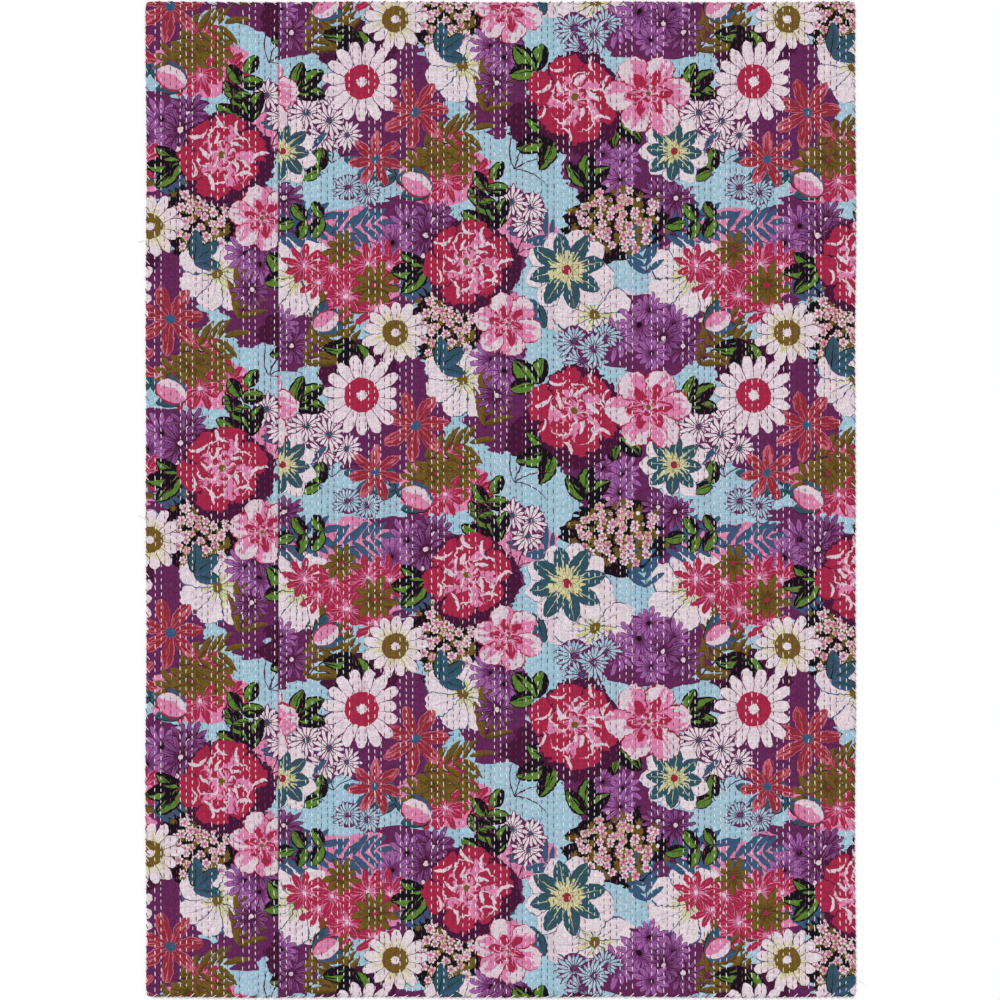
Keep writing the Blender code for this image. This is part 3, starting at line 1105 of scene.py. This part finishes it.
def stitch_points(low, high, parity):
    """The middle of each stitch of one colour of thread, and the local length of a period."""
    points, periods = [], []
    y = np.linspace(-LENGTH / 2, LENGTH / 2, ROW_SAMPLES)
    for x, group in stitch_rows(low, high):
        if group % 2 != parity:
            continue
        phase = stitch_phase(x, y)
        whole = np.arange(math.ceil(phase[0] + END_GAP), math.floor(phase[-1] - END_GAP) + 1)
        middle = np.interp(whole, phase, y)
        before, after = np.interp(whole - 0.5, phase, y), np.interp(whole + 0.5, phase, y)
        at = x + row_stray(x, 2 * middle / LENGTH) + RNG.normal(0, HAND_STRAY, len(middle))
        points += [(a, b, TROUGH_HEIGHT + THREAD_LIFT) for a, b in zip(at, middle)]
        periods += list(after - before)
    return points, periods


def outline_point(share, side):
    """A point of the outline, so far along one of its four sides."""
    sign = -1 if side in ("left", "foot") else 1
    if side in ("left", "right"):
        y = (2 * share - 1) * (LENGTH / 2 - CORNER_RADIUS)
        return sign * (WIDTH / 2 - float(edge_inset(2 * y / LENGTH, sign))), y, 0.0
    x = (2 * share - 1) * (WIDTH / 2 - CORNER_RADIUS)
    return x, sign * (LENGTH / 2 - float(end_inset(2 * x / WIDTH, sign))), 0.0


def whip_points(parity):
    """Where the edge is whipped over with one colour of thread, and how each stitch is turned."""
    points, turns = [], []
    for side, side_turns in WHIP_TURNS.items():
        count = round((LENGTH if side in ("left", "right") else WIDTH) / WHIP_PITCH)
        for number in range(parity, count, 2):
            share = (number + 0.5 + 0.22 * math.sin(12.9 * number)) / count
            points.append(outline_point(share, side))
            turns.append(side_turns[parity])
    return points, turns


def thread_tails(material):
    """The few loose thread ends at the edges, curled on the surface."""
    curve = bpy.data.curves.new("thread_tails", "CURVE")
    curve.dimensions = "3D"
    curve.bevel_depth = TAIL_RADIUS
    curve.bevel_resolution = 1
    curve.use_fill_caps = True
    for x, y, heading, length in TAILS:
        spline = curve.splines.new("POLY")
        spline.points.add(TAIL_STEPS - 1)
        angle = math.radians(heading)
        for number, point in enumerate(spline.points):
            point.co = (x, y, 0.0006 if number else 0.0014, 1.0)
            angle += 0.32 * math.sin(1.7 * number + heading)
            x += math.cos(angle) * length / TAIL_STEPS
            y += math.sin(angle) * length / TAIL_STEPS
    tails = as_plain_mesh("thread_tails", link(bpy.data.objects.new("tail_curves", curve)))
    tails.data.materials.clear()
    tails.data.materials.append(material)
    return tails


def sewing(cream, plum):
    """All the thread, each piece paired with a slot name that nothing here uses."""
    running, whipped = running_stitch_tree(), whip_stitch_tree()
    spans = {"narrow": (-WIDTH / 2, SEAM), "wide": (SEAM, WIDTH / 2)}
    made = []
    for parity, (colour, material) in enumerate({"cream": cream, "plum": plum}.items()):
        slot = f"{colour}_thread"
        for panel, (low, high) in spans.items():
            points, periods = stitch_points(low, high, parity)
            settings = {**STITCH_SETTINGS, "Seed": 11 + parity, "Material": material}
            piece = grown(f"stitches_{colour}_{panel}", points, "period", periods, running, settings)
            made.append((piece, slot))
        points, turns = whip_points(parity)
        settings = {**WHIP_SETTINGS, "Seed": 31 + parity, "Material": material}
        made.append((grown(f"whipping_{colour}", points, "turn", turns, whipped, settings), slot))
    made.append((thread_tails(cream), "cream_thread"))
    return made


def make_floor():
    """A plain pale floor that the coverlet lies on."""
    finish = {"Roughness": 0.9, "Base Color": (0.93, 0.93, 0.93, 1.0)}
    material, _, _ = new_material("pale_floor", finish)
    mesh = bpy.data.meshes.new("floor")
    around = ((-1, -1), (1, -1), (1, 1), (-1, 1))
    corners = [(x * FLOOR_HALF, y * FLOOR_HALF, FLOOR_LEVEL) for x, y in around]
    mesh.from_pydata(corners, [], [(0, 1, 2, 3)])
    mesh.materials.append(material)
    floor = link(bpy.data.objects.new("floor", mesh))


def make_light():
    """Even white light from all round, and a soft one from the upper left to show the relief."""
    world = bpy.data.worlds.new("studio")
    bpy.context.scene.world = world
    world.use_nodes = True
    sky = world.node_tree.nodes["Background"]
    sky.inputs["Color"].default_value = (1.0, 1.0, 1.0, 1.0)
    sky.inputs["Strength"].default_value = ROUND_LIGHT
    lamp = bpy.data.lights.new("softbox", "SUN")
    lamp.angle = SOFTBOX_SPREAD
    lamp.energy = SOFTBOX_LIGHT
    softbox = link(bpy.data.objects.new("softbox", lamp))
    softbox.location = SOFTBOX_PLACE
    softbox.rotation_euler = (-softbox.location).to_track_quat("-Z", "Y").to_euler()


def make_camera():
    """Straight above the coverlet, with the photograph's frame."""
    camera = bpy.data.cameras.new("camera")
    camera.lens = LENS
    camera.sensor_width = SENSOR
    view = link(bpy.data.objects.new("camera", camera))
    view.location = (-0.0011, -0.0009, FRAME_WIDTH * LENS / SENSOR)
    bpy.context.scene.camera = view


make_camera()

bloom = stamp_group()
cottons = [printed_cotton(f"printed_cotton_{layers}", bloom, layers) for layers in DEPTHS]
narrow = cloth_panel("cloth_narrow", -WIDTH / 2, SEAM, NARROW_SHIFT, cottons)
wide = cloth_panel("cloth_wide", SEAM, WIDTH / 2, WIDE_SHIFT, cottons)
cream_thread = spun_thread("cream_cotton", ink(255, 246, 247), ink(238, 220, 221))
plum_thread = spun_thread("plum_cotton", ink(138, 46, 88), ink(92, 26, 62))

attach(narrow, "root")
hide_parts("panel_narrow")
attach(wide, "root")
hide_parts("panel_wide")
for piece, thread_slot in sewing(cream_thread, plum_thread):
    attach(piece, "root")

make_floor()
make_light()
bpy.context.scene.view_settings.view_transform = "Standard"
